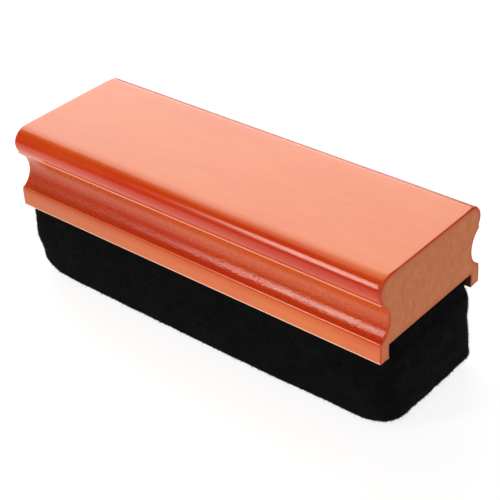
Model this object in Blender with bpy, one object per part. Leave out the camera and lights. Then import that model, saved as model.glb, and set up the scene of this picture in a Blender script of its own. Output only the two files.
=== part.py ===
"""Chalkboard eraser: a moulded wooden handle with a cloth-covered foam pad held in its rebate.

Metres, +Z up. +X runs along the length. The origin is the middle of the wiping face.
"""

import math

import bmesh
import bpy

MM = 0.001

# Handle: overall size
LENGTH = 150.0 * MM
HANDLE_HEIGHT = 28.8 * MM
BEAD_HALF_WIDTH = 25.85 * MM
LIP_HALF_WIDTH = 25.6 * MM
END_CHAMFER = 0.3 * MM

# Handle: moulded side, heights above the lips' lower faces
BEAD_REACH = 5.8 * MM
BEAD_DROP = 4.8 * MM
BEAD_TUCK = 0.85 * MM
BEAD_TUCK_DROP = 3.0 * MM
COVE_RADIUS = 7.35 * MM
COVE_DEPTH = 4.65 * MM
COVE_HEIGHT = 13.5 * MM
COVE_TOP_HALF_WIDTH = 24.6 * MM
COVE_FOOT_HALF_WIDTH = 25.2 * MM
LIP_TOP_ROUND = 0.7 * MM
LIP_FOOT_RADIUS = 0.6 * MM

# Rebate that holds the pad
REBATE_HALF_WIDTH = 21.15 * MM
REBATE_DEPTH = 4.9 * MM

# Pad
PAD_DROP = 27.9 * MM
PAD_HALF_LENGTH = 76.6 * MM
PAD_HALF_WIDTH = 22.4 * MM
NECK_HALF_LENGTH = 74.8 * MM
NECK_HALF_WIDTH = 20.8 * MM
NECK_HEIGHTS = (2.5 * MM, 1.8 * MM, 1.1 * MM, 0.3 * MM)  # below the lips' lower faces
CORNER_RADIUS = 5.6 * MM
NECK_CORNER_RADIUS = 3.5 * MM
END_ROUND_LENGTH = 12.6 * MM
END_ROUND_HEIGHT = 4.8 * MM
SIDE_ROUND = 2.3 * MM
CLOTH = 2.0 * MM
FLAP_REACH = 9.0 * MM
MOUTH_CORNER_RADIUS = 1.0 * MM

# Stack inside the pad, from the rebate's ceiling down
GAP = 0.3 * MM
BOARD = 2.3 * MM
BOARD_CORNER_RADIUS = 3.0 * MM
GLUE_FILM = 0.3 * MM
GLUE_FILM_INSET = 1.5 * MM
CEILING_Z = PAD_DROP + REBATE_DEPTH
FLAP_TOP_Z = CEILING_Z - GAP
FLAP_FOOT_Z = FLAP_TOP_Z - CLOTH
BOARD_TOP_Z = FLAP_FOOT_Z - GAP
BOARD_FOOT_Z = BOARD_TOP_Z - BOARD
FILM_TOP_Z = BOARD_FOOT_Z - GAP
FOAM_TOP_Z = FILM_TOP_Z - GLUE_FILM - GAP

# Staples, sunk into the turned-in cloth
STAPLE_CROWN = 10.0 * MM
STAPLE_WIDTH = 0.9 * MM
STAPLE_WIRE = 0.5 * MM
STAPLE_LEG = 3.2 * MM
STAPLE_TOP_Z = FLAP_TOP_Z - 0.2 * MM
CROWN_Z = STAPLE_TOP_Z - STAPLE_WIRE
STAPLE_INSET = 4.8 * MM
SIDE_STAPLES = 4
SIDE_STAPLE_PITCH = 36.0 * MM
END_STAPLES = 2
END_STAPLE_PITCH = 15.0 * MM

CORNER_STEPS = 6


def clear_scene():
    for obj in list(bpy.data.objects):
        bpy.data.objects.remove(obj, do_unlink=True)


def material(name, color, roughness, metallic=0.0):
    made = bpy.data.materials.new(name)
    made.use_nodes = True
    shader = made.node_tree.nodes["Principled BSDF"]
    shader.inputs["Base Color"].default_value = (*color, 1.0)
    shader.inputs["Roughness"].default_value = roughness
    shader.inputs["Metallic"].default_value = metallic
    made.diffuse_color = (*color, 1.0)
    return made


def mesh_object(name, bm, look):
    bmesh.ops.recalc_face_normals(bm, faces=bm.faces)
    mesh = bpy.data.meshes.new(name)
    bm.to_mesh(mesh)
    bm.free()
    mesh.materials.append(look)
    obj = bpy.data.objects.new(name, mesh)
    bpy.context.scene.collection.objects.link(obj)
    return obj


def smooth_rounds(obj, sharp_degrees=28.0):
    obj.data.shade_smooth()
    obj.data.set_sharp_from_angle(angle=math.radians(sharp_degrees))


def pulled_outline(points, vec):
    """A prism: the closed outline through the points, extruded by vec."""
    bm = bmesh.new()
    face = bm.faces.new([bm.verts.new(point) for point in points])
    pulled = bmesh.ops.extrude_face_region(bm, geom=[face])["geom"]
    moved = [item for item in pulled if isinstance(item, bmesh.types.BMVert)]
    bmesh.ops.translate(bm, verts=moved, vec=vec)
    return bm


def arc(y, z, radius, start, end, steps):
    """Points on a circle round (y, z), angles in degrees from +Y towards +Z."""
    turns = [math.radians(start + (end - start) * i / steps) for i in range(steps + 1)]
    return [(y + radius * math.cos(turn), z + radius * math.sin(turn)) for turn in turns]


# ---- wooden handle -------------------------------------------------------------------------


def bead_points():
    """The flat top's rounded edge, a quarter of an ellipse, and the tuck under it, from the top down."""
    nose_z = HANDLE_HEIGHT - BEAD_DROP
    centre_y = BEAD_HALF_WIDTH - BEAD_REACH
    round_edge = [(centre_y + BEAD_REACH * y, nose_z + BEAD_DROP * z) for y, z in arc(0, 0, 1, 90, 0, 8)]
    tuck_radius = (BEAD_TUCK**2 + BEAD_TUCK_DROP**2) / (2 * BEAD_TUCK)
    tuck_turn = math.degrees(math.asin(BEAD_TUCK_DROP / tuck_radius))
    tuck = arc(BEAD_HALF_WIDTH - tuck_radius, nose_z, tuck_radius, 0, -tuck_turn, 4)
    return round_edge + tuck[1:]


def cove_points():
    """The finger cove, a round hollow from under the bead down to the lip."""
    centre_y = BEAD_HALF_WIDTH - COVE_DEPTH + COVE_RADIUS
    start = 180 - math.degrees(math.acos((centre_y - COVE_TOP_HALF_WIDTH) / COVE_RADIUS))
    end = 180 + math.degrees(math.acos((centre_y - COVE_FOOT_HALF_WIDTH) / COVE_RADIUS))
    return arc(centre_y, COVE_HEIGHT, COVE_RADIUS, start, end, 16)


def lip_points(cove_foot_z):
    """The flat lip below the cove, with its lower outer corner rounded."""
    foot = arc(LIP_HALF_WIDTH - LIP_FOOT_RADIUS, LIP_FOOT_RADIUS, LIP_FOOT_RADIUS, 0, -90, 3)
    return [(LIP_HALF_WIDTH, cove_foot_z - LIP_TOP_ROUND), *foot]


def half_outline():
    """One side of the handle's section, from the top down to the rebate's ceiling."""
    cove = cove_points()
    rebate = [(REBATE_HALF_WIDTH, 0.0), (REBATE_HALF_WIDTH, REBATE_DEPTH)]
    return bead_points() + cove + lip_points(cove[-1][1]) + rebate


def wooden_handle(look):
    side = half_outline()
    outline = [(-y, z) for y, z in reversed(side)] + side
    left_end = [(-LENGTH / 2, y, PAD_DROP + z) for y, z in outline]
    bm = pulled_outline(left_end, (LENGTH, 0, 0))
    rims = [edge for edge in bm.edges if abs(edge.verts[0].co.x - edge.verts[1].co.x) < MM]
    bmesh.ops.bevel(bm, geom=rims, offset=END_CHAMFER, segments=1, affect="EDGES")
    handle = mesh_object("wooden_handle", bm, look)
    smooth_rounds(handle)
    return handle


# ---- pad -----------------------------------------------------------------------------------


def rounded_ring(bm, half_length, half_width, radius, z):
    """A rounded rectangle of vertices at height z."""
    verts = []
    centres = ((1, 1), (-1, 1), (-1, -1), (1, -1))
    for quarter, (sign_x, sign_y) in enumerate(centres):
        for i in range(CORNER_STEPS + 1):
            turn = math.radians(90 * (quarter + i / CORNER_STEPS))
            x = sign_x * (half_length - radius) + radius * math.cos(turn)
            y = sign_y * (half_width - radius) + radius * math.sin(turn)
            verts.append(bm.verts.new((x, y, z)))
    return verts


def join_rings(bm, rings):
    """Walls between each ring and the next, with the first and last ring filled."""
    bm.faces.new(rings[0])
    bm.faces.new(rings[-1])
    for low, high in zip(rings, rings[1:]):
        for i, vert in enumerate(low):
            j = (i + 1) % len(low)
            bm.faces.new((vert, low[j], high[j], high[i]))


def round_inset(z, length, height):
    """How far an elliptical lower edge stands in at height z."""
    rise = max(0.0, 1 - z / height)
    return length * (1 - math.sqrt(1 - rise**2))


def pad_outline(z):
    """The pad's half length, half width and corner radius at height z."""
    neck_foot = PAD_DROP - NECK_HEIGHTS[0]
    neck_top = PAD_DROP - NECK_HEIGHTS[-1]
    blend = min(max((z - neck_foot) / (neck_top - neck_foot), 0.0), 1.0) ** 2
    side_inset = round_inset(z, SIDE_ROUND, SIDE_ROUND)
    length = PAD_HALF_LENGTH + (NECK_HALF_LENGTH - PAD_HALF_LENGTH) * blend
    width = PAD_HALF_WIDTH + (NECK_HALF_WIDTH - PAD_HALF_WIDTH) * blend
    radius = CORNER_RADIUS + (NECK_CORNER_RADIUS - CORNER_RADIUS) * blend
    length -= round_inset(z, END_ROUND_LENGTH, END_ROUND_HEIGHT)
    return length, width - side_inset, radius - side_inset / 2


def pad_heights(foot, top):
    """Ring heights between foot and top, close together round the lower edge and the neck."""
    edge = [END_ROUND_HEIGHT * (1 - math.cos(math.radians(90 * i / 8))) for i in range(9)]
    neck = [PAD_DROP - drop for drop in NECK_HEIGHTS]
    clear = 0.2 * MM
    between = [z for z in edge + neck if foot + clear < z < top - clear]
    return [foot, *between, top]


def pad_rings(bm, foot, top, inset):
    """Rings of the pad's shape made smaller all round by inset."""
    rings = []
    for z in pad_heights(foot, top):
        length, width, radius = pad_outline(z - inset)
        rings.append(rounded_ring(bm, length - inset, width - inset, radius - inset / 2, z))
    return rings


def plush_cover(look, cutters):
    """A cloth tray round the pad, turned in over the board and open in the middle on top."""
    bm = bmesh.new()
    outside = pad_rings(bm, 0.0, FLAP_TOP_Z, 0.0)
    mouth_length = NECK_HALF_LENGTH - FLAP_REACH
    mouth_width = NECK_HALF_WIDTH - FLAP_REACH
    mouth_size = (mouth_length, mouth_width, MOUTH_CORNER_RADIUS)
    mouth = [rounded_ring(bm, *mouth_size, z) for z in (FLAP_TOP_Z, FLAP_FOOT_Z)]
    inside = pad_rings(bm, CLOTH, FLAP_FOOT_Z, CLOTH)
    join_rings(bm, outside + mouth + inside[::-1])
    cover = mesh_object("plush_cover", bm, look)
    smooth_rounds(cover, 50.0)
    for cutter in cutters:
        pierce(cover, cutter)
    return cover


def foam_core(look):
    bm = bmesh.new()
    join_rings(bm, pad_rings(bm, CLOTH + GAP, FOAM_TOP_Z, CLOTH + GAP))
    foam = mesh_object("foam_core", bm, look)
    smooth_rounds(foam, 50.0)
    return foam


def slab(name, look, half_length, half_width, radius, foot, top):
    bm = bmesh.new()
    rings = [rounded_ring(bm, half_length, half_width, radius, z) for z in (foot, top)]
    join_rings(bm, rings)
    return mesh_object(name, bm, look)


def backing_board(look, cutter):
    inset = CLOTH + GAP
    size = (NECK_HALF_LENGTH - inset, NECK_HALF_WIDTH - inset, BOARD_CORNER_RADIUS)
    board = slab("backing_board", look, *size, BOARD_FOOT_Z, BOARD_TOP_Z)
    pierce(board, cutter)
    return board


def foam_glue_film(look):
    inset = CLOTH + GAP + GLUE_FILM_INSET
    size = (NECK_HALF_LENGTH - inset, NECK_HALF_WIDTH - inset, BOARD_CORNER_RADIUS)
    return slab("foam_glue_film", look, *size, FILM_TOP_Z - GLUE_FILM, FILM_TOP_Z)


def handle_glue_bed(look):
    """The hot-melt bed between the bare middle of the board and the rebate's ceiling."""
    inset = FLAP_REACH + GAP
    size = (NECK_HALF_LENGTH - inset, NECK_HALF_WIDTH - inset, MOUTH_CORNER_RADIUS)
    return slab("handle_glue_bed", look, *size, BOARD_TOP_Z + GAP, CEILING_Z - GAP)


# ---- staples -------------------------------------------------------------------------------


def spread(count, pitch):
    return [pitch * (i - (count - 1) / 2) for i in range(count)]


def staple_places():
    """Name, x, y and whether the crown lies across the pad, for each staple."""
    side_y = NECK_HALF_WIDTH - STAPLE_INSET
    end_x = NECK_HALF_LENGTH - STAPLE_INSET
    places = []
    for edge, y in (("front", -side_y), ("back", side_y)):
        for i, x in enumerate(spread(SIDE_STAPLES, SIDE_STAPLE_PITCH), 1):
            places.append((f"staple_{edge}_{i}", x, y, False))
    for edge, x in (("left", -end_x), ("right", end_x)):
        for i, y in enumerate(spread(END_STAPLES, END_STAPLE_PITCH), 1):
            places.append((f"staple_{edge}_{i}", x, y, True))
    return places


def staple_mesh(look):
    """One wire staple, legs down, its crown along X and centred on the origin."""
    half, inner = STAPLE_CROWN / 2, STAPLE_CROWN / 2 - STAPLE_WIRE
    leg_z, crown_z = CROWN_Z - STAPLE_LEG, CROWN_Z
    outline = [
        (-half, leg_z),
        (-inner, leg_z),
        (-inner, crown_z),
        (inner, crown_z),
        (inner, leg_z),
        (half, leg_z),
        (half, STAPLE_TOP_Z),
        (-half, STAPLE_TOP_Z),
    ]
    near_side = [(x, -STAPLE_WIDTH / 2, z) for x, z in outline]
    bm = pulled_outline(near_side, (0, STAPLE_WIDTH, 0))
    bmesh.ops.recalc_face_normals(bm, faces=bm.faces)
    mesh = bpy.data.meshes.new("staple")
    bm.to_mesh(mesh)
    bm.free()
    mesh.materials.append(look)
    return mesh


def staples(look):
    mesh = staple_mesh(look)
    for name, x, y, across in staple_places():
        obj = bpy.data.objects.new(name, mesh)
        obj.location = (x, y, 0.0)
        obj.rotation_euler = (0.0, 0.0, math.pi / 2 if across else 0.0)
        bpy.context.scene.collection.objects.link(obj)


def add_box(bm, x, y, foot, along, aside, height, across):
    """A box on its foot at (x, y), its length along X, or along Y where across is true."""
    cube = bmesh.ops.create_cube(bm, size=1.0)["verts"]
    size = (aside, along, height) if across else (along, aside, height)
    bmesh.ops.scale(bm, verts=cube, vec=size)
    bmesh.ops.translate(bm, verts=cube, vec=(x, y, foot + height / 2))


def staple_cutter(look, name, foot, along, offsets):
    """Boxes that clear every staple from foot up, one at each offset along its crown."""
    bm = bmesh.new()
    height = CEILING_Z + GAP - foot
    for _, x, y, across in staple_places():
        for offset in offsets:
            place = (x, y + offset) if across else (x + offset, y)
            add_box(bm, *place, foot, along, STAPLE_WIDTH + 2 * GAP, height, across)
    cutter = mesh_object(name, bm, look)
    cutter.hide_render = True
    cutter.display_type = "WIRE"
    return cutter


def leg_cutter(look):
    reach = (STAPLE_CROWN - STAPLE_WIRE) / 2
    foot = CROWN_Z - STAPLE_LEG - GAP
    return staple_cutter(look, "leg_cutter", foot, STAPLE_WIRE + 2 * GAP, (-reach, reach))


def crown_cutter(look):
    return staple_cutter(look, "crown_cutter", CROWN_Z - GAP, STAPLE_CROWN + 2 * GAP, (0.0,))


def pierce(obj, cutter):
    cut = obj.modifiers.new(cutter.name, "BOOLEAN")
    cut.operation = "DIFFERENCE"
    cut.solver = "EXACT"
    cut.object = cutter


def build():
    clear_scene()
    wire = material("staple_wire", (0.55, 0.56, 0.58), 0.35, 1.0)
    glue = material("hot_melt_glue", (0.78, 0.66, 0.42), 0.45)
    legs, crowns = leg_cutter(wire), crown_cutter(wire)
    wooden_handle(material("lacquered_wood", (0.72, 0.16, 0.03), 0.3))
    plush_cover(material("black_plush", (0.008, 0.008, 0.009), 0.95), (legs, crowns))
    foam_core(material("grey_foam", (0.35, 0.35, 0.36), 0.9))
    backing_board(material("fibreboard", (0.30, 0.19, 0.10), 0.85), legs)
    foam_glue_film(glue)
    handle_glue_bed(glue)
    staples(wire)


build()
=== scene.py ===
import math

import bmesh
import bpy
import numpy as np
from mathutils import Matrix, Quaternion, Vector, geometry, noise


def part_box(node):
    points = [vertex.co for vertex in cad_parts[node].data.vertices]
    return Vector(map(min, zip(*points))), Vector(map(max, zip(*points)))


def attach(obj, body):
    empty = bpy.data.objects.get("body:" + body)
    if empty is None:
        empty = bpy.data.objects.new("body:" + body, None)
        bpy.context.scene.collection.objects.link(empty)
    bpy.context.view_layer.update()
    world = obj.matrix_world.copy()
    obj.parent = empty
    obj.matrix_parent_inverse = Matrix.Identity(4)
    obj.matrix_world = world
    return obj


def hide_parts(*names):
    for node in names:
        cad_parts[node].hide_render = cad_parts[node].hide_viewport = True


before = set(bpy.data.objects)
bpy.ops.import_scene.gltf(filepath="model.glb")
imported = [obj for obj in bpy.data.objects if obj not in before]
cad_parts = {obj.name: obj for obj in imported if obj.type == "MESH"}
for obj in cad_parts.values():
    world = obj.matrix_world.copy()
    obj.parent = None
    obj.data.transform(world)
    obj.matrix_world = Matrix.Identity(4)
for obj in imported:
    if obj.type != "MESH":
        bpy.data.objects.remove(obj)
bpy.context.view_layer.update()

# Looks for the chalkboard eraser: a finer wooden handle, a plush cover with its pile, materials
# for every part, the floor, the lights and the camera. Metres, +Z up, +X along the length.

MM = 0.001

# Handle, from the frame
HANDLE_LOW, HANDLE_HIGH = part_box("wooden_handle")
HALF_LENGTH = HANDLE_HIGH.x
BEAD_HALF_WIDTH = HANDLE_HIGH.y
LIP_FOOT_Z = HANDLE_LOW.z
TOP_Z = HANDLE_HIGH.z

# Handle, moulded side: heights above the lips' lower faces
LIP_HALF_WIDTH = BEAD_HALF_WIDTH - 0.25 * MM
BEAD_REACH = 5.8 * MM
BEAD_DROP = 4.8 * MM
BEAD_TUCK = 0.85 * MM
BEAD_TUCK_DROP = 3.0 * MM
COVE_RADIUS = 7.35 * MM
COVE_DEPTH = 4.65 * MM
COVE_HEIGHT = 13.5 * MM
COVE_TOP_HALF_WIDTH = BEAD_HALF_WIDTH - 1.25 * MM
COVE_FOOT_HALF_WIDTH = BEAD_HALF_WIDTH - 0.65 * MM
LIP_FOOT_RADIUS = 0.5 * MM
REBATE_HALF_WIDTH = BEAD_HALF_WIDTH - 4.7 * MM
REBATE_DEPTH = 4.9 * MM
FILLET_HALF_WIDTH = BEAD_HALF_WIDTH - 1.13 * MM
FILLET_TOP = 20.42 * MM
FILLET_FOOT = 20.0 * MM
ARRIS_REACH = 0.2 * MM

# Handle, surface and ends
STATION_PITCH = 2.5 * MM
WIDEST_RIM = 0.95 * MM
RIM_CLEARANCE = 0.6 * MM
RIM_FADE_TURN = 30.0  # degrees
SAND_WAVE = 0.03 * MM
SAND_RIPPLE = 0.003 * MM
CAP_PITCH = 1.0 * MM
CAP_CLEARANCE = 0.35 * MM
STAIN_BLEED = 0.55 * MM
SHARP_ANGLE = math.radians(50)

# Numbers that the handle's mesh holds at each point for its materials, and its material slots
POINT_VALUES = ("stain_and_shade", "arris", "cove", "bare_and_shaded", "rim", "fringe")
LACQUER_SLOT, END_GRAIN_SLOT = 0, 1

# Pad, from the frame
PAD_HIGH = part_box("plush_cover")[1]
PAD_HALF_LENGTH = PAD_HIGH.x
PAD_HALF_WIDTH = PAD_HIGH.y
FLAP_TOP_Z = PAD_HIGH.z

# Pad, shape
PILE_DEPTH = 0.3 * MM
CORNER_RADIUS = 5.6 * MM
END_ROUND_LENGTH = 12.2 * MM
END_ROUND_HEIGHT = 4.8 * MM
SIDE_ROUND = 1.0 * MM
NECK_IN_LENGTH = 1.8 * MM
NECK_IN_WIDTH = 1.6 * MM
NECK_CORNER_RADIUS = 3.5 * MM
NECK_FOOT_Z = LIP_FOOT_Z - 2.5 * MM
NECK_TOP_Z = LIP_FOOT_Z - 0.3 * MM
FLAP_REACH = 9.0 * MM
BACKING_THICKNESS = 1.25 * MM

# Cloth simulation, run on a copy of the pad this many times its size
SIM_SCALE = 4.0
SIM_VOXEL = 5.5 * MM
SIM_PRESSURE = 4.0
SIM_FRAMES = 20
SWELL_CAP = 0.45 * MM
RESTING_BAND = 4.0 * MM
NECK_BAND = 1.5 * MM

# Cloth surface after the simulation
LOWEST_CLOTH = 0.05 * MM
CLOTH_WAVE = 0.12 * MM
CLOTH_RIPPLE = 0.05 * MM

# Pile
HAIRS_PER_PIECE = 34000
HAIR_LENGTHS = (0.5 * MM, 0.95 * MM)
HAIR_RADII = (0.05 * MM, 0.08 * MM)
HAIR_ROOT_DEPTH = 0.12 * MM
HAIR_LEAN = 0.42
HAIR_DROOP = 0.15
LOWEST_HAIR = 0.02 * MM
LONG_SIDE_BAND = 2.6 * MM

# Floor, lights and camera: angles in degrees, lens and sensor in millimetres
FLOOR_RADIUS = 0.42
FLOOR_CORNERS = 96
LIGHTS_AIM = Vector((0.0, 0.0, 0.04))
CAMERA_PLACE = (0.2508, -0.2695, 0.2702)
CAMERA_AZIMUTH = 42.38
CAMERA_ELEVATION = 33.79
CAMERA_ROLL = -3.9
LENS = 97.55
SENSOR_WIDTH = 36.0


# ---- material graphs -----------------------------------------------------------------------


# A colour Mix node's sockets, which share their names with its number sockets
MIX_FIRST, MIX_SECOND, MIX_RESULT = 6, 7, 2


class Graph:
    """Short calls for building one material's node tree. Noise scales are cells per millimetre."""

    def __init__(self, name):
        self.look = bpy.data.materials.new(name)
        self.look.use_nodes = True
        self.tree = self.look.node_tree
        self.shader = self.tree.nodes["Principled BSDF"]

    def set(self, **values):
        """Constants for the shader's inputs, underscores standing for spaces."""
        for name, value in values.items():
            self.shader.inputs[name.replace("_", " ")].default_value = value

    def feed(self, name, source):
        self.tree.links.new(source, self.shader.inputs[name])

    def put(self, target, value):
        """Links a socket, or sets a number or colour."""
        if isinstance(value, bpy.types.NodeSocket):
            self.tree.links.new(value, target)
        else:
            target.default_value = (*value, 1.0) if isinstance(value, tuple) else value

    def place(self, stretch=(1.0, 1.0, 1.0)):
        """The point in millimetres, its axes multiplied by stretch."""
        where = self.tree.nodes.new("ShaderNodeTexCoord")
        scaled = self.tree.nodes.new("ShaderNodeMapping")
        scaled.inputs["Scale"].default_value = [value / MM for value in stretch]
        self.tree.links.new(where.outputs["Object"], scaled.inputs["Vector"])
        return scaled.outputs["Vector"]

    def noise(self, scale, stretch=(1.0, 1.0, 1.0), detail=2.0, roughness=0.5):
        """Soft noise, from 0 to 1 and mostly near 0.5."""
        made = self.tree.nodes.new("ShaderNodeTexNoise")
        made.inputs["Scale"].default_value = scale
        made.inputs["Detail"].default_value = detail
        made.inputs["Roughness"].default_value = roughness
        self.tree.links.new(self.place(stretch), made.inputs["Vector"])
        return made.outputs["Fac"]

    def cells(self, scale, stretch=(1.0, 1.0, 1.0), feature="F1"):
        """The distance to the nearest of many scattered points."""
        made = self.tree.nodes.new("ShaderNodeTexVoronoi")
        made.feature = feature
        made.inputs["Scale"].default_value = scale
        self.tree.links.new(self.place(stretch), made.inputs["Vector"])
        return made.outputs["Distance"]

    def along(self, start, end, at_start, at_end, axis="X"):
        """A value that changes along an axis between two places in millimetres."""
        split = self.tree.nodes.new("ShaderNodeSeparateXYZ")
        self.tree.links.new(self.place(), split.inputs["Vector"])
        return self.spread(split.outputs[axis], start, end, at_start, at_end)

    def attribute(self, name):
        """A number stored at each point of the mesh."""
        made = self.tree.nodes.new("ShaderNodeAttribute")
        made.attribute_name = name
        return made.outputs["Fac"]

    def maths(self, operation, first, second=0.0, clamp=False):
        made = self.tree.nodes.new("ShaderNodeMath")
        made.operation = operation
        made.use_clamp = clamp
        self.put(made.inputs[0], first)
        self.put(made.inputs[1], second)
        return made.outputs["Value"]

    def spread(self, value, low, high, to_low=0.0, to_high=1.0):
        """The value between low and high, stretched smoothly over to_low to to_high."""
        made = self.tree.nodes.new("ShaderNodeMapRange")
        made.interpolation_type = "SMOOTHSTEP"
        limits = (low, high, to_low, to_high)
        for name, limit in zip(("From Min", "From Max", "To Min", "To Max"), limits):
            made.inputs[name].default_value = limit
        self.put(made.inputs["Value"], value)
        return made.outputs["Result"]

    def mix(self, share, first, second):
        """The first colour with a share of the second over it."""
        made = self.tree.nodes.new("ShaderNodeMix")
        made.data_type = "RGBA"
        self.put(made.inputs["Factor"], share)
        self.put(made.inputs[MIX_FIRST], first)
        self.put(made.inputs[MIX_SECOND], second)
        return made.outputs[MIX_RESULT]

    def bump(self, height, depth, under=None):
        """A bump whose full height is depth metres, on top of an earlier bump."""
        made = self.tree.nodes.new("ShaderNodeBump")
        made.inputs["Distance"].default_value = depth
        self.put(made.inputs["Height"], height)
        if under is not None:
            self.tree.links.new(under, made.inputs["Normal"])
        return made.outputs["Normal"]


# ---- wood ----------------------------------------------------------------------------------


def lacquered_wood():
    """Orange-red stain under satin lacquer, deeper in the mouldings partly as painted shade, pale on the
    arrises partly as painted highlight.
    """
    graph = Graph("lacquered_wood")
    cove, rim = graph.attribute("cove"), graph.attribute("rim")
    clouds = graph.noise(0.045, (0.5, 1.0, 1.0), 2.0)
    flame = graph.noise(0.3, (0.3, 1.0, 1.0), 3.0, 0.6)
    grain = graph.noise(2.2, (0.03, 1.0, 1.0), 3.0, 0.6)
    pores = graph.cells(1.6, (0.16, 1.0, 1.0))
    chatter = graph.noise(1.6, (1.0, 0.9, 0.9), 1.0)
    knife_marks = graph.noise(0.75, (1.0, 0.03, 0.03), 1.0)

    # Colour: how deep the stain is (in the mouldings partly painted shade), painted light towards +X,
    # then grain and pores, tool marks, pale arrises (wear and painted highlights), painted shade low on
    # the handle and in the cove towards its -X end, and the rebate's bare wood, painted dark as shade
    strength = graph.maths("MAXIMUM", graph.along(-70, 40, 0.8, 1.0), cove)
    # Painted shade: the cove's stain deepened towards the -X end
    painted_cove_shade = graph.maths("MULTIPLY", cove, graph.along(-70, 40, 0.25, 0.0))
    stain_and_shade = graph.maths("ADD", graph.maths("MULTIPLY", graph.attribute("stain_and_shade"), strength), painted_cove_shade)
    cloudy = graph.maths("ADD", stain_and_shade, graph.spread(clouds, 0.3, 0.7, -0.06, 0.12))
    deep = graph.maths("ADD", cloudy, graph.spread(flame, 0.3, 0.7, -0.035, 0.035), clamp=True)
    # The thin stain's colour, painted lighter towards +X as light falling there
    thin_stain_and_light = graph.mix(graph.along(-80, 80, 0.0, 1.0), (0.73, 0.158, 0.020), (0.86, 0.186, 0.023))
    tinted = graph.mix(deep, thin_stain_and_light, (0.64, 0.037, 0.003))
    flat = graph.mix(graph.spread(stain_and_shade, 0.9, 1.35), tinted, (0.57, 0.030, 0.003))
    grained = graph.mix(graph.spread(grain, 0.5, 0.75, 0.0, 0.09), flat, (0.42, 0.05, 0.008))
    dotted = graph.mix(graph.spread(pores, 0.16, 0.05, 0.0, 0.08), grained, (0.25, 0.03, 0.006))
    cut = graph.maths("MULTIPLY", cove, graph.spread(chatter, 0.58, 0.35, 0.0, 0.38))
    cut_dark = graph.mix(cut, dotted, (0.40, 0.035, 0.005))
    arris = graph.attribute("arris")
    # Pale arrises: partly wear, partly painted highlight; the palest, at the lip's foot, is a painted
    # highlight
    worn_and_lit_arrises = graph.mix(graph.spread(arris, 0.35, 1.0, 0.0, 0.8), cut_dark, (0.92, 0.30, 0.13))
    painted_arris_highlight = graph.mix(graph.spread(arris, 0.9, 1.4), worn_and_lit_arrises, (1.0, 0.60, 0.42))
    # Painted shade: the lip and cove darkened low on the handle towards the -X end
    painted_low_shade = graph.maths("MULTIPLY", graph.along(47, 45, 0.0, 1.0, "Z"), graph.along(-75, 25, 0.32, 0.0))
    shaded_low = graph.mix(painted_low_shade, painted_arris_highlight, (0.40, 0.07, 0.01))
    # The rebate's bare wood, painted near black-brown as the shade inside it
    graph.feed("Base Color", graph.mix(graph.attribute("bare_and_shaded"), shaded_low, (0.09, 0.025, 0.012)))

    # Gloss: satin on the mouldings, duller on the top, at the rims and towards the coves' -X ends
    satin = graph.spread(graph.noise(0.5, (0.4, 1.0, 1.0), 3.0), 0.3, 0.7, 0.165, 0.185)
    top_haze = graph.maths("ADD", satin, graph.spread(stain_and_shade, 0.0, 0.8, 0.08, 0.0))
    duller = graph.along(-60, 15, 0.13, 0.0)
    planing = graph.maths("ADD", graph.spread(chatter, 0.4, 0.62, -0.05, 0.02), duller)
    cove_haze = graph.maths("MULTIPLY", cove, planing)
    rim_haze = graph.maths("MULTIPLY", rim, 0.35)
    haze = graph.maths("ADD", top_haze, cove_haze)
    graph.feed("Roughness", graph.maths("ADD", haze, rim_haze))
    graph.set(IOR=1.5, Specular_IOR_Level=0.44)

    peel = graph.bump(graph.noise(0.8, (0.6, 1.0, 1.0), 2.0), 0.003 * MM)
    planed = graph.bump(graph.maths("MULTIPLY", knife_marks, cove), 0.02 * MM, peel)
    graph.feed("Normal", graph.bump(graph.maths("MULTIPLY", chatter, cove), 0.085 * MM, planed))
    return graph.look


def end_grain():
    """Sawn end grain, matte and browner, with fine upright saw lines and stain bled in at the rim."""
    graph = Graph("end_grain")
    mottle = graph.noise(0.35, detail=4.0, roughness=0.6)
    lines = graph.noise(3.2, (1.0, 1.0, 0.05), 2.0, 0.6)
    fibres = graph.noise(5.0, detail=2.0, roughness=0.7)
    base = graph.mix(graph.spread(mottle, 0.3, 0.7), (0.62, 0.198, 0.076), (0.74, 0.240, 0.096))
    lined = graph.mix(graph.spread(lines, 0.35, 0.7, 0.0, 0.3), base, (0.48, 0.130, 0.05))
    dark = graph.mix(graph.spread(fibres, 0.52, 0.75, 0.0, 0.55), lined, (0.34, 0.085, 0.03))
    speck = graph.mix(graph.spread(fibres, 0.45, 0.25, 0.0, 0.5), dark, (0.82, 0.33, 0.17))
    bled = graph.maths("MULTIPLY", graph.attribute("fringe"), graph.spread(mottle, 0.2, 0.8, 0.5, 1.0))
    graph.feed("Base Color", graph.mix(bled, speck, (0.62, 0.11, 0.04)))
    graph.set(Specular_IOR_Level=0.2, Roughness=0.75)
    rough = graph.bump(fibres, 0.03 * MM, graph.bump(lines, 0.04 * MM))
    graph.feed("Normal", rough)
    return graph.look


# ---- cloth and hidden parts ----------------------------------------------------------------


def black_plush():
    graph = Graph("black_plush")
    nap = graph.noise(0.16, detail=3.0, roughness=0.6)
    tufts = graph.noise(2.4, detail=3.0, roughness=0.7)
    shade = graph.mix(graph.spread(nap, 0.3, 0.7), (0.0028, 0.0028, 0.003), (0.0052, 0.0052, 0.0054))
    graph.feed("Base Color", graph.mix(graph.spread(tufts, 0.4, 0.75), shade, (0.0015, 0.0015, 0.0016)))
    graph.set(Roughness=0.95, Specular_IOR_Level=0.04, Sheen_Weight=0.018, Sheen_Roughness=0.5)
    graph.feed("Normal", graph.bump(tufts, 0.25 * MM, graph.bump(nap, 0.4 * MM)))
    return graph.look


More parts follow.
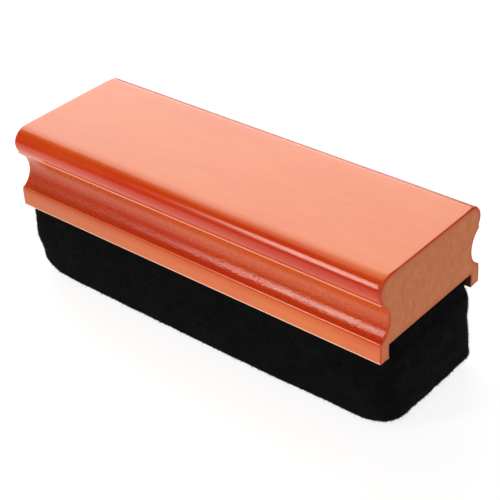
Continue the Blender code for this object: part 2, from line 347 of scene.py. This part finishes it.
def pile_hair():
    graph = Graph("plush_pile")
    nap = graph.noise(0.16, detail=3.0, roughness=0.6)
    shade = graph.mix(graph.spread(nap, 0.3, 0.7), (0.004, 0.004, 0.0042), (0.0085, 0.0085, 0.009))
    graph.feed("Base Color", shade)
    graph.set(Roughness=0.8, Specular_IOR_Level=0.06)
    return graph.look


def grey_foam():
    graph = Graph("grey_foam")
    pores = graph.cells(1.3, feature="SMOOTH_F1")
    fine = graph.cells(3.1)
    soft = graph.noise(0.12, detail=3.0)
    base = graph.mix(graph.spread(soft, 0.3, 0.7), (0.31, 0.31, 0.32), (0.40, 0.40, 0.41))
    holes = graph.mix(graph.spread(pores, 0.35, 0.1, 0.0, 0.8), base, (0.12, 0.12, 0.125))
    graph.feed("Base Color", graph.mix(graph.spread(fine, 0.2, 0.05, 0.0, 0.6), holes, (0.10, 0.10, 0.11)))
    graph.set(Roughness=0.95, Specular_IOR_Level=0.2)
    graph.feed("Normal", graph.bump(fine, 0.15 * MM, graph.bump(pores, 0.4 * MM)))
    return graph.look


def fibreboard():
    graph = Graph("fibreboard")
    flecks = graph.noise(1.4, (0.3, 1.0, 1.0), 4.0, 0.7)
    chips = graph.cells(0.9, (0.4, 1.0, 1.0))
    base = graph.mix(graph.spread(flecks, 0.35, 0.7), (0.24, 0.14, 0.07), (0.37, 0.25, 0.14))
    graph.feed("Base Color", graph.mix(graph.spread(chips, 0.25, 0.08, 0.0, 0.5), base, (0.15, 0.08, 0.04)))
    graph.set(Roughness=0.88, Specular_IOR_Level=0.3)
    graph.feed("Normal", graph.bump(flecks, 0.06 * MM))
    return graph.look


def hot_melt_glue():
    graph = Graph("hot_melt_glue")
    flow = graph.noise(0.25, (0.5, 1.0, 1.0), 3.0)
    beads = graph.cells(0.8)
    base = graph.mix(graph.spread(flow, 0.3, 0.7), (0.72, 0.58, 0.33), (0.84, 0.73, 0.50))
    graph.feed("Base Color", graph.mix(graph.spread(beads, 0.18, 0.05, 0.0, 0.5), base, (0.95, 0.9, 0.78)))
    graph.feed("Roughness", graph.spread(flow, 0.3, 0.7, 0.3, 0.5))
    graph.set(IOR=1.48, Subsurface_Weight=0.15, Subsurface_Scale=0.5 * MM)
    graph.feed("Normal", graph.bump(flow, 0.25 * MM))
    return graph.look


def staple_wire():
    graph = Graph("staple_wire")
    drawn = graph.noise(9.0, detail=3.0, roughness=0.7)
    dull = graph.noise(0.9, detail=3.0)
    graph.feed("Base Color", graph.mix(graph.spread(dull, 0.3, 0.7), (0.46, 0.47, 0.49), (0.63, 0.64, 0.66)))
    graph.feed("Roughness", graph.spread(drawn, 0.3, 0.7, 0.26, 0.42))
    graph.set(Metallic=1.0)
    graph.feed("Normal", graph.bump(drawn, 0.01 * MM))
    return graph.look


def pale_floor():
    graph = Graph("pale_floor")
    graph.set(Base_Color=(0.26, 0.26, 0.26, 1.0), Roughness=0.9, Specular_IOR_Level=0.0)
    graph.set(Emission_Color=(1.0, 1.0, 1.0, 1.0), Emission_Strength=0.84)
    return graph.look


# ---- handle shape --------------------------------------------------------------------------


def arc(y, z, radius, start, end, steps):
    """Points on a circle round (y, z), angles in degrees from +Y towards +Z."""
    turns = np.radians(np.linspace(start, end, steps + 1))
    return [Vector((y + radius * math.cos(turn), z + radius * math.sin(turn))) for turn in turns]


def eased(before, corner, after, steps=4):
    """A small round in place of a corner, reaching back a little along each side."""
    start = corner + (before - corner).normalized() * ARRIS_REACH
    end = corner + (after - corner).normalized() * ARRIS_REACH
    shares = [i / steps for i in range(steps + 1)]
    return [start * (1 - t) ** 2 + corner * 2 * t * (1 - t) + end * t**2 for t in shares]


def line(start, end, count):
    """Points from start towards end, without the end itself."""
    return [start.lerp(end, i / count) for i in range(count)]


def bead_line():
    """The flat top, its rounded edge and the tuck under it, from the middle outwards."""
    height = TOP_Z - LIP_FOOT_Z
    nose_z = height - BEAD_DROP
    top = line(Vector((0.0, height)), Vector((BEAD_HALF_WIDTH - BEAD_REACH, height)), 6)
    round_edge = []
    for tilt in np.radians(np.linspace(0, 90, 17)):
        size = math.hypot(BEAD_REACH * math.sin(tilt), BEAD_DROP * math.cos(tilt))
        out = BEAD_REACH**2 * math.sin(tilt) / size
        up = BEAD_DROP**2 * math.cos(tilt) / size
        round_edge.append(Vector((BEAD_HALF_WIDTH - BEAD_REACH + out, nose_z + up)))
    tuck_radius = (BEAD_TUCK**2 + BEAD_TUCK_DROP**2) / (2 * BEAD_TUCK)
    tuck_turn = math.degrees(math.asin(BEAD_TUCK_DROP / tuck_radius))
    tuck = arc(BEAD_HALF_WIDTH - tuck_radius, nose_z, tuck_radius, 0, -tuck_turn, 6)
    return top + round_edge + tuck[1:]


def cove_line():
    """The hollow for the fingers, from its top to its foot."""
    centre_y = BEAD_HALF_WIDTH - COVE_DEPTH + COVE_RADIUS
    start = 180 - math.degrees(math.acos((centre_y - COVE_TOP_HALF_WIDTH) / COVE_RADIUS))
    end = 180 + math.degrees(math.acos((centre_y - COVE_FOOT_HALF_WIDTH) / COVE_RADIUS))
    return arc(centre_y, COVE_HEIGHT, COVE_RADIUS, start, end, 24)


def lip_shoulder(cove_foot):
    """The slope from the cove's foot down to the lip's upright face, flatter step by step."""
    falls = ((0.20, 0.60), (0.32, 1.05), (0.40, 1.60))
    return [Vector((cove_foot.x + out * MM, cove_foot.y - down * MM)) for out, down in falls]


def half_section():
    """One side of the section, from the top to the ceiling, as rows of
    (y, z, stain_and_shade, arris, cove, bare_and_shaded, rim radius in millimetres)."""
    bead, cove = bead_line(), cove_line()
    fillet_top = Vector((FILLET_HALF_WIDTH, FILLET_TOP))
    fillet_foot = Vector((FILLET_HALF_WIDTH, FILLET_FOOT))
    shoulder = lip_shoulder(cove[-1])
    foot = arc(LIP_HALF_WIDTH - LIP_FOOT_RADIUS, LIP_FOOT_RADIUS, LIP_FOOT_RADIUS, 0, -90, 6)
    inner = Vector((REBATE_HALF_WIDTH, 0.0))
    ceiling = Vector((REBATE_HALF_WIDTH, REBATE_DEPTH))
    middle = Vector((0.0, REBATE_DEPTH))

    lip_arris = eased(cove[-2], cove[-1], shoulder[0])
    rows = []

    def add(points, stain_and_shade, arris=0.0, cove_share=0.0, bare_and_shaded=0.0, rim=0.4):
        depths = np.linspace(stain_and_shade[0], stain_and_shade[-1], len(points))
        for point, depth in zip(points, depths):
            rows.append((point.x, point.y, float(depth), arris, cove_share, bare_and_shaded, rim))

    # The flat top, the bead's round and the tuck under it; the stain deepens round the bead, partly as
    # painted shade under it
    add(bead[:6], (0.0, 0.1))
    add(bead[6:10], (0.1, 0.3), rim=0.6)
    add(bead[10:13], (0.45, 0.85), rim=0.8)
    add(bead[13:17], (0.95, 1.0), rim=0.95)
    add(bead[17:21], (1.05, 1.1), rim=0.95)
    add(bead[21:], (1.0, 0.8), rim=0.95)
    # The small fillet between bead and cove, pale partly from wear and partly as a painted highlight
    add([bead[-1].lerp(fillet_top, 0.6)], (0.8,), rim=0.6)
    add([fillet_top, fillet_top.lerp(fillet_foot, 0.5), fillet_foot], (0.2,), arris=1.0, rim=0.2)
    # The cove, its stain deepest towards its foot, partly as painted shade
    add(cove[1:13], (0.5, 0.45), cove_share=0.7, rim=0.4)
    add(cove[13:18], (0.58, 0.76), cove_share=1.0, rim=0.4)
    add(cove[18:-1], (0.85, 0.97), cove_share=1.0, rim=0.4)
    # The lip: its top arris, its shoulder, its face and its rounded foot; the arrises are pale partly as
    # painted highlights, the foot as a painted highlight
    add(lip_arris[:1], (0.8,), cove_share=0.5, rim=0.2)
    add(lip_arris[1:-1], (0.5,), arris=0.8, rim=0.2)
    add(lip_arris[-1:], (1.0,), rim=0.2)
    add(shoulder, (0.5, 0.25), rim=0.3)
    add(line(shoulder[-1], foot[0], 4)[1:], (0.25, 0.2), arris=0.52, rim=0.3)
    add([foot[0].lerp(shoulder[-1], 0.08)], (0.2,), arris=0.52, rim=0.3)
    add(foot[:-1], (0.1,), arris=1.4, rim=0.3)
    # The lip's underside, then the rebate's side and ceiling, bare wood painted dark as the shade inside the
    # rebate
    add(line(foot[-1], inner, 2), (0.2,), arris=0.2, rim=0.3)
    add(eased(foot[-1], inner, ceiling, 3), (0.5,), bare_and_shaded=0.6, rim=0.1)
    add(line(inner.lerp(ceiling, 0.15), ceiling, 3), (0.8, 1.0), bare_and_shaded=1.0, rim=0.3)
    add(line(ceiling, middle, 4), (0.9, 0.6), bare_and_shaded=1.0, rim=0.3)
    return np.array(rows)


def whole_section():
    """The closed section: +Y side from top to ceiling, then the -Y side back up."""
    side = half_section()
    top, ceiling = side[0], side[-1].copy()
    ceiling[0] = 0.0
    mirrored = side[1:][::-1].copy()
    mirrored[:, 0] *= -1
    return np.vstack([top, side[1:], ceiling, mirrored])


def outward(section):
    """Unit normals of the closed section, pointing out of the wood."""
    ahead = np.roll(section[:, :2], -1, axis=0) - section[:, :2]
    behind = section[:, :2] - np.roll(section[:, :2], 1, axis=0)
    ahead /= np.linalg.norm(ahead, axis=1, keepdims=True)
    behind /= np.linalg.norm(behind, axis=1, keepdims=True)
    along = ahead + behind
    along /= np.linalg.norm(along, axis=1, keepdims=True)
    return np.stack([-along[:, 1], along[:, 0]], axis=1)


def stations():
    """Every ring along the handle as (side, turn of the end round in degrees) or (None, x)."""
    count = round(2 * HALF_LENGTH / STATION_PITCH)
    reach = HALF_LENGTH - WIDEST_RIM - RIM_CLEARANCE
    turns = np.linspace(0, 90, 7)
    left = [(-1, float(turn)) for turn in turns]
    middle = [(None, float(x)) for x in np.linspace(-reach, reach, count)]
    right = [(1, float(turn)) for turn in turns[::-1]]
    return left + middle + right


def ring_place(station, rim):
    """(x, inset, how far into the rim) for one point of a ring with this rim radius."""
    side, value = station
    if side is None:
        return value, 0.0, 0.0
    turn = math.radians(value)
    x = side * (HALF_LENGTH - rim * (1 - math.cos(turn)))
    return x, rim * (1 - math.sin(turn)), min(1.0, (90 - value) / RIM_FADE_TURN)


def wavy(point):
    """How far the sanded surface stands proud at a point: shallow waves about 18 mm long and
    11 mm across, and fainter ripples on them."""
    long_wave = noise.noise(Vector((point[0] * 55, point[1] * 90, point[2] * 90)))
    short_wave = noise.noise(Vector((point[0] * 210 + 9, point[1] * 320, point[2] * 320)))
    return SAND_WAVE * long_wave + SAND_RIPPLE * short_wave


def cap_points(outline):
    """Points inside an end face, on a square grid and clear of the outline."""
    low, high = outline.min(0), outline.max(0)
    across, up = (np.arange(low[i], high[i], CAP_PITCH) for i in range(2))
    grid = np.stack(np.meshgrid(across, up), axis=-1).reshape(-1, 2)
    return grid[edge_distance(grid, outline) > CAP_CLEARANCE]


def edge_distance(points, outline):
    """The distance of each point from a closed outline."""
    start, end = outline, np.roll(outline, -1, axis=0)
    run = end - start
    length = np.maximum((run**2).sum(1), 1e-18)
    offset = points[:, None, :] - start[None]
    share = np.clip((offset * run[None]).sum(2) / length[None], 0, 1)
    nearest = start[None] + share[..., None] * run[None]
    return np.linalg.norm(points[:, None, :] - nearest, axis=2).min(1)


def cap_faces(outline):
    """Triangles over an end face: (points, faces, which point each one was before, counted with
    the outline's points first)."""
    points = [Vector(point) for point in np.vstack([outline, cap_points(outline)])]
    loop = list(range(len(outline)))
    result = geometry.delaunay_2d_cdt(points, [], [loop], 1, 1e-7)
    verts, faces, sources = result[0], result[2], result[3]
    return [tuple(vert) for vert in verts], faces, [source[0] for source in sources]


def ring_points(section, normals, rings):
    """Every ring's points and, for each point, its POINT_VALUES."""
    points, values = [], []
    for station in rings:
        for row, normal in zip(section, normals):
            stain_and_shade, arris, cove, bare_and_shaded, rim_radius = row[2:]
            x, inset, rim = ring_place(station, rim_radius * MM)
            y, z = row[:2] - normal * inset
            push = wavy((x, y, LIP_FOOT_Z + z)) - SAND_WAVE
            points.append((x, y + normal[0] * push, LIP_FOOT_Z + z + normal[1] * push))
            values.append((max(stain_and_shade, 0.95 * rim), arris * (1 - rim), cove * (1 - rim), bare_and_shaded, rim, 1.0))
    return points, values


def ring_faces(count, size):
    """Four-sided faces from each ring of points to the next."""
    faces = []
    for ring in range(count - 1):
        low, high = ring * size, (ring + 1) * size
        for i in range(size):
            j = (i + 1) % size
            faces.append((low + i, high + i, high + j, low + j))
    return faces


def add_cap(points, values, faces, first, size, flip):
    """Closes the ring whose points start at first with an end face."""
    outline = np.array([point[1:] for point in points[first:first + size]])
    verts, triangles, sources = cap_faces(outline)
    depths = edge_distance(np.array(verts), outline)
    ids = []
    for vert, source, depth in zip(verts, sources, depths):
        if source < size:
            ids.append(first + source)
            continue
        ids.append(len(points))
        points.append((points[first][0], *vert))
        values.append((0.0, 0.0, 0.0, 0.0, 0.0, math.exp(-depth / STAIN_BLEED)))
    for triangle in triangles:
        corners = [ids[i] for i in triangle]
        faces.append(tuple(corners if flip else corners[::-1]))


def handle_mesh():
    """The moulding drawn through every ring, with an end face at each end."""
    section = whole_section()
    rings = stations()
    size = len(section)
    points, values = ring_points(section, outward(section), rings)
    faces = ring_faces(len(rings), size)
    kinds = [LACQUER_SLOT] * len(faces)
    add_cap(points, values, faces, 0, size, False)
    add_cap(points, values, faces, (len(rings) - 1) * size, size, True)
    kinds += [END_GRAIN_SLOT] * (len(faces) - len(kinds))
    mesh = bpy.data.meshes.new("handle")
    mesh.from_pydata(points, [], faces)
    mesh.polygons.foreach_set("material_index", kinds)
    for name, numbers in zip(POINT_VALUES, zip(*values)):
        mesh.attributes.new(name, "FLOAT", "POINT").data.foreach_set("value", numbers)
    return mesh


def shown(name, mesh, *looks):
    """A new object in the scene with this mesh and these materials."""
    for look in looks:
        mesh.materials.append(look)
    obj = bpy.data.objects.new(name, mesh)
    bpy.context.scene.collection.objects.link(obj)
    return obj


def face_outwards(mesh):
    """Turns every face of a closed mesh to point out of it."""
    bm = bmesh.new()
    bm.from_mesh(mesh)
    bmesh.ops.recalc_face_normals(bm, faces=bm.faces)
    bm.to_mesh(mesh)
    bm.free()


def wooden_handle():
    mesh = handle_mesh()
    face_outwards(mesh)
    handle = shown("handle", mesh, lacquered_wood(), end_grain())
    mesh.shade_smooth()
    mesh.set_sharp_from_angle(angle=SHARP_ANGLE)
    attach(handle, "root")
    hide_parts("wooden_handle")


# ---- plush cover ---------------------------------------------------------------------------


def round_inset(z, length, height):
    """How far an elliptical lower edge stands in at height z."""
    rise = max(0.0, 1 - z / height)
    return length * (1 - math.sqrt(max(0.0, 1 - rise**2)))


def pad_outline(z):
    """The pad's half length, half width and corner radius at height z."""
    blend = min(max((z - NECK_FOOT_Z) / (NECK_TOP_Z - NECK_FOOT_Z), 0.0), 1.0) ** 2
    side = round_inset(z, SIDE_ROUND, SIDE_ROUND)
    length = PAD_HALF_LENGTH - NECK_IN_LENGTH * blend
    length -= round_inset(z, END_ROUND_LENGTH, END_ROUND_HEIGHT)
    width = PAD_HALF_WIDTH - NECK_IN_WIDTH * blend - side
    radius = CORNER_RADIUS + (NECK_CORNER_RADIUS - CORNER_RADIUS) * blend
    return length, width, radius - side / 2


def pad_ring(z, inset, steps=6):
    """A rounded rectangle of points at height z, inset from the pad's outside."""
    length, width, radius = pad_outline(z - inset)
    length, width, radius = length - inset, width - inset, radius - inset / 2
    points = []
    for quarter, (sign_x, sign_y) in enumerate(((1, 1), (-1, 1), (-1, -1), (1, -1))):
        for i in range(steps + 1):
            turn = math.radians(90 * (quarter + i / steps))
            x = sign_x * (length - radius) + radius * math.cos(turn)
            y = sign_y * (width - radius) + radius * math.sin(turn)
            points.append(Vector((x, y, z)))
    return points


def closed_pad():
    """The pad as one closed form, a pile's depth inside its outside, scaled up for the cloth."""
    foot, top = PILE_DEPTH, FLAP_TOP_Z
    turns = [math.radians(90 * i / 12) for i in range(13)]
    edge = [foot + END_ROUND_HEIGHT * (1 - math.cos(turn)) for turn in turns]
    neck = list(np.linspace(NECK_FOOT_Z, NECK_TOP_Z, 5))
    heights = [*edge, *np.linspace(edge[-1], NECK_FOOT_Z, 6)[1:-1], *neck, top]
    bm = bmesh.new()
    rings = [[bm.verts.new(point * SIM_SCALE) for point in pad_ring(z, PILE_DEPTH)] for z in heights]
    bm.faces.new(rings[0])
    bm.faces.new(rings[-1])
    for low, high in zip(rings, rings[1:]):
        for i, vert in enumerate(low):
            j = (i + 1) % len(low)
            bm.faces.new((vert, low[j], high[j], high[i]))
    bmesh.ops.recalc_face_normals(bm, faces=bm.faces)
    mesh = bpy.data.meshes.new("pad")
    bm.to_mesh(mesh)
    bm.free()
    return mesh


def applied(obj):
    """Puts the modified shape into the mesh and drops the modifiers."""
    depsgraph = bpy.context.evaluated_depsgraph_get()
    made = bpy.data.meshes.new_from_object(obj.evaluated_get(depsgraph))
    obj.modifiers.clear()
    old, obj.data = obj.data, made
    bpy.data.meshes.remove(old)
    return obj


def points_of(mesh):
    flat = np.zeros(len(mesh.vertices) * 3)
    mesh.vertices.foreach_get("co", flat)
    return flat.reshape(-1, 3)


def move_points(mesh, points):
    mesh.vertices.foreach_set("co", points.astype(np.float32).ravel())
    mesh.update()


def remeshed_pad():
    pad = shown("plush_cover_shaped", closed_pad())
    remesh = pad.modifiers.new("remesh", "REMESH")
    remesh.mode = "VOXEL"
    remesh.voxel_size = SIM_VOXEL
    return applied(pad)


def swell(pad):
    """Blows the cloth up from inside, held at the neck and along the face it rests on, and caps
    how far it moves."""
    before = points_of(pad.data)
    held = pad.vertex_groups.new(name="held")
    neck = before[:, 2] > (NECK_TOP_Z - NECK_BAND) * SIM_SCALE
    resting = before[:, 2] < RESTING_BAND * SIM_SCALE
    for i in np.flatnonzero(neck | resting):
        held.add([int(i)], 1.0, "REPLACE")
    cloth = pad.modifiers.new("cloth", "CLOTH")
    cloth.settings.use_pressure = True
    cloth.settings.uniform_pressure_force = SIM_PRESSURE
    cloth.settings.vertex_group_mass = "held"
    cloth.settings.effector_weights.gravity = 0.0
    cloth.point_cache.frame_start = 1
    cloth.point_cache.frame_end = SIM_FRAMES
    for number in range(1, SIM_FRAMES + 1):
        bpy.context.scene.frame_set(number)
    applied(pad)
    bpy.context.scene.frame_set(1)
    after = points_of(pad.data)
    moved = after - before
    distance = np.linalg.norm(moved, axis=1, keepdims=True)
    cap = SWELL_CAP * SIM_SCALE
    move_points(pad.data, before + moved * np.minimum(1.0, cap / np.maximum(distance, 1e-9)))


def open_mouth(pad):
    """Removes the top inside the turned-in flap, where the glue bed holds the board."""
    bm = bmesh.new()
    bm.from_mesh(pad.data)
    reach_x = PAD_HALF_LENGTH - NECK_IN_LENGTH - FLAP_REACH
    reach_y = PAD_HALF_WIDTH - NECK_IN_WIDTH - FLAP_REACH

    def inside(face):
        at = face.calc_center_median()
        return at.z > FLAP_TOP_Z - 1.0 * MM and abs(at.x) < reach_x and abs(at.y) < reach_y

    middle = [face for face in bm.faces if inside(face)]
    bmesh.ops.delete(bm, geom=middle, context="FACES")
    bm.to_mesh(pad.data)
    bm.free()


def dents():
    """Small irregularities of the cloth: (centre, how far it spreads, the push at its middle in
    millimetres)."""
    left, right = -PAD_HALF_LENGTH + 1.6 * MM, PAD_HALF_LENGTH - 2.1 * MM
    front, back = -PAD_HALF_WIDTH + 3.4 * MM, PAD_HALF_WIDTH - 2.9 * MM
    front_face = -PAD_HALF_WIDTH
    foot_z = 2.0 * MM
    # Two bulges and a notch at the left front corner, a sag at the right back one, and a shallow
    # hollow in the front
    made = [
        ((left, front, 21.0 * MM), 7.5 * MM, (-1.7, -0.5, 0.0)),
        ((left, front, 12.8 * MM), 4.0 * MM, (-0.8, -0.65, 0.0)),
        ((left, front, 7.6 * MM), 2.0 * MM, (0.7, 0.6, 0.0)),
        ((right, back, 4.0 * MM), 2.4 * MM, (0.5, 0.6, -0.5)),
        ((30.0 * MM, front_face, 12.0 * MM), 14.0 * MM, (0.0, 0.25, 0.0)),
    ]
    # The lower edges of the front and of the right end stand a little fuller
    for x in range(-56, 33, 22):
        made.append(((x * MM, front_face, foot_z), 14.0 * MM, (0.0, -0.8, 0.0)))
    for y in range(-10, 21, 15):
        made.append(((right, y * MM, foot_z), 10.0 * MM, (0.85, 0.0, 0.0)))
    return made


def settle(mesh):
    """Small dents, bulges and waves, with nothing left below the surface the eraser stands on."""
    points = points_of(mesh)
    for centre, spread, push in dents():
        near = np.exp(-(((points - np.array(centre)) / spread) ** 2).sum(1))
        points += near[:, None] * np.array(push) * MM
    for i, point in enumerate(points):
        if point[2] < NECK_FOOT_Z:
            wave = CLOTH_WAVE * noise.noise(Vector(point * 120.0))
            ripple = CLOTH_RIPPLE * noise.noise(Vector(point * 420.0))
            points[i, :2] *= 1 + (wave + ripple) / PAD_HALF_WIDTH
    points[:, 2] = np.maximum(points[:, 2], LOWEST_CLOTH)
    move_points(mesh, points)


def plush_cover():
    """The cloth round the foam: swollen, opened at the top, thickened, smoothed, then dented."""
    pad = remeshed_pad()
    swell(pad)
    move_points(pad.data, points_of(pad.data) / SIM_SCALE)
    open_mouth(pad)
    backing = pad.modifiers.new("backing", "SOLIDIFY")
    backing.thickness = BACKING_THICKNESS
    backing.offset = -1.0
    smooth = pad.modifiers.new("smooth", "SUBSURF")
    smooth.levels = 1
    smooth.render_levels = 1
    applied(pad)
    settle(pad.data)
    pad.data.materials.clear()
    pad.data.materials.append(black_plush())
    pad.data.shade_smooth()
    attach(pad, "root")
    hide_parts("plush_cover")
    return pad


# ---- pile ----------------------------------------------------------------------------------


def outer_triangles(cover):
    """Corner points, normals and areas of the cover's outward triangles that aren't inside the
    rebate. Outward is away from the nearest point of a box in the middle of the pad."""
    mesh = cover.data
    mesh.calc_loop_triangles()
    points = points_of(mesh)
    corners = np.zeros(len(mesh.loop_triangles) * 3, np.int32)
    mesh.loop_triangles.foreach_get("vertices", corners)
    triangles = points[corners.reshape(-1, 3)]
    normals = np.cross(triangles[:, 1] - triangles[:, 0], triangles[:, 2] - triangles[:, 0])
    areas = np.linalg.norm(normals, axis=1) / 2
    normals /= np.maximum(areas[:, None] * 2, 1e-15)
    middles = triangles.mean(1)
    core_length = PAD_HALF_LENGTH - 14.0 * MM
    core_width = PAD_HALF_WIDTH - 8.0 * MM
    core_low = (-core_length, -core_width, 8.0 * MM)
    core_high = (core_length, core_width, LIP_FOOT_Z)
    core = np.clip(middles, core_low, core_high)
    facing = ((middles - core) * normals).sum(1) > 0
    past_the_handle = np.abs(middles[:, 0]) > HALF_LENGTH - 1.2 * MM
    below_the_handle = middles[:, 2] < NECK_TOP_Z
    below_the_fold = middles[:, 2] < FLAP_TOP_Z - 0.8 * MM
    outer = facing & (below_the_handle | (past_the_handle & below_the_fold))
    return triangles[outer], normals[outer], areas[outer]


def hairs(name, count, seed, triangles, normals, areas):
    """Short tapered hairs rooted on these triangles, three-sided and closed at the root."""
    draw = np.random.default_rng(seed)
    chosen = draw.choice(len(areas), count, p=areas / areas.sum())
    a, b = draw.random((2, count, 1))
    over = a + b > 1
    a, b = np.where(over, 1 - a, a), np.where(over, 1 - b, b)
    corner = triangles[chosen]
    roots = corner[:, 0] + a * (corner[:, 1] - corner[:, 0]) + b * (corner[:, 2] - corner[:, 0])
    out = normals[chosen]
    roots -= out * HAIR_ROOT_DEPTH
    lean = draw.normal(0.0, HAIR_LEAN, (count, 3))
    lean[:, 2] -= HAIR_DROOP
    aim = out + lean
    aim /= np.linalg.norm(aim, axis=1, keepdims=True)
    tips = roots + aim * draw.uniform(*HAIR_LENGTHS, (count, 1))
    tips[:, 2] = np.maximum(tips[:, 2], LOWEST_HAIR)
    side = np.cross(aim, draw.normal(0.0, 1.0, (count, 3)))
    side /= np.linalg.norm(side, axis=1, keepdims=True)
    other = np.cross(aim, side)
    radius = draw.uniform(*HAIR_RADII, (count, 1))
    points = np.empty((count, 4, 3))
    for i in range(3):
        turn = math.tau * i / 3
        points[:, i] = roots + radius * (side * math.cos(turn) + other * math.sin(turn))
    points[:, 3] = tips
    points[:, :3, 2] = np.maximum(points[:, :3, 2], LOWEST_HAIR)
    first = np.arange(count)[:, None, None] * 4
    shape = np.array([[0, 1, 3], [1, 2, 3], [2, 0, 3], [2, 1, 0]])
    faces = (first + shape[None]).reshape(-1, 3)
    mesh = bpy.data.meshes.new(name)
    mesh.from_pydata(points.reshape(-1, 3).tolist(), [], faces.tolist())
    return mesh


def pile(cover):
    """The plush's hairs, one piece on the long sides and one on the ends and the wiping face."""
    look = pile_hair()
    triangles, normals, areas = outer_triangles(cover)
    on_long_sides = np.abs(triangles.mean(1)[:, 1]) > PAD_HALF_WIDTH - LONG_SIDE_BAND
    for name, seed, part in (
        ("plush_pile_sides", 11, on_long_sides),
        ("plush_pile_ends", 12, ~on_long_sides),
    ):
        mesh = hairs(name, HAIRS_PER_PIECE, seed, triangles[part], normals[part], areas[part])
        hair = shown(name, mesh, look)
        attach(hair, "root")


# ---- parts that keep their shape -----------------------------------------------------------


def dress(prefix, look):
    """Gives every CAD node whose name starts with this prefix one look."""
    for name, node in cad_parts.items():
        if name.startswith(prefix):
            for place in node.material_slots:
                place.material = look


def dress_inner_parts():
    glue = hot_melt_glue()
    dress("foam_core", grey_foam())
    dress("backing_board", fibreboard())
    dress("foam_glue_film", glue)
    dress("handle_glue_bed", glue)
    dress("staple_", staple_wire())


# ---- floor, lights and camera --------------------------------------------------------------


def direction(azimuth, elevation):
    """The unit vector at an azimuth, in degrees from -Y turning to +X, and an elevation."""
    turn, rise = math.radians(azimuth), math.radians(elevation)
    return Vector((math.sin(turn) * math.cos(rise), -math.cos(turn) * math.cos(rise), math.sin(rise)))


def floor():
    """A round white table top that glows, as a product table lit from below does."""
    turns = [math.tau * i / FLOOR_CORNERS for i in range(FLOOR_CORNERS)]
    mesh = bpy.data.meshes.new("floor")
    edge = [(FLOOR_RADIUS * math.cos(turn), FLOOR_RADIUS * math.sin(turn), 0.0) for turn in turns]
    mesh.from_pydata(edge, [], [tuple(range(FLOOR_CORNERS))])
    shown("floor", mesh, pale_floor())


def softbox(name, azimuth, elevation, width, height, brightness, distance=0.7):
    """A rectangular light that faces the handle, its brightness the same at any size.
    Angles in degrees, sizes and distance in metres."""
    light = bpy.data.lights.new(name, "AREA")
    light.shape = "RECTANGLE"
    light.size = width
    light.size_y = height
    light.energy = brightness * math.pi * width * height
    obj = bpy.data.objects.new(name, light)
    bpy.context.scene.collection.objects.link(obj)
    towards = direction(azimuth, elevation)
    obj.location = LIGHTS_AIM + towards * distance
    obj.rotation_euler = towards.to_track_quat("Z", "Y").to_euler()
    return obj


def lights():
    """A bright, warm strip for the streaks on the mouldings, and large soft boxes for the rest."""
    key = softbox("front_softbox", -28.5, 27, 0.17, 0.28, 11.7)
    key.data.color = (1.0, 0.90, 0.80)
    key.rotation_euler.rotate_axis("Z", math.radians(30))
    softbox("fill_softbox", 30, 32, 0.4, 0.4, 1.3)
    softbox("back_softbox", -132, 33, 0.7, 0.68, 3.2)
    softbox("left_softbox", -97, 62, 0.4, 0.28, 1.0)
    softbox("right_softbox", 78, 24, 0.5, 0.5, 0.85)
    softbox("overhead_softbox", 90, 80, 1.0, 1.0, 1.04, 1.2)


def studio():
    """A dim room: grey near the horizon and almost black overhead."""
    world = bpy.data.worlds.new("studio")
    world.use_nodes = True
    tree = world.node_tree
    where = tree.nodes.new("ShaderNodeTexCoord")
    split = tree.nodes.new("ShaderNodeSeparateXYZ")
    fall = tree.nodes.new("ShaderNodeMapRange")
    for name, value in (("From Min", 0.1), ("From Max", 0.6), ("To Min", 0.14), ("To Max", 0.04)):
        fall.inputs[name].default_value = value
    tree.links.new(where.outputs["Generated"], split.inputs["Vector"])
    tree.links.new(split.outputs["Z"], fall.inputs["Value"])
    tree.links.new(fall.outputs["Result"], tree.nodes["Background"].inputs["Strength"])
    tree.nodes["Background"].inputs["Color"].default_value = (1.0, 1.0, 1.0, 1.0)
    bpy.context.scene.world = world


def camera():
    data = bpy.data.cameras.new("camera")
    data.lens = LENS
    data.sensor_width = SENSOR_WIDTH
    obj = bpy.data.objects.new("camera", data)
    bpy.context.scene.collection.objects.link(obj)
    facing = direction(CAMERA_AZIMUTH, CAMERA_ELEVATION).to_track_quat("Z", "Y")
    roll = Quaternion((0.0, 0.0, 1.0), math.radians(CAMERA_ROLL))
    obj.rotation_mode = "QUATERNION"
    obj.rotation_quaternion = facing @ roll
    obj.location = CAMERA_PLACE
    bpy.context.scene.camera = obj


wooden_handle()
pile(plush_cover())
dress_inner_parts()
floor()
lights()
studio()
camera()
bpy.context.scene.view_settings.view_transform = "Standard"
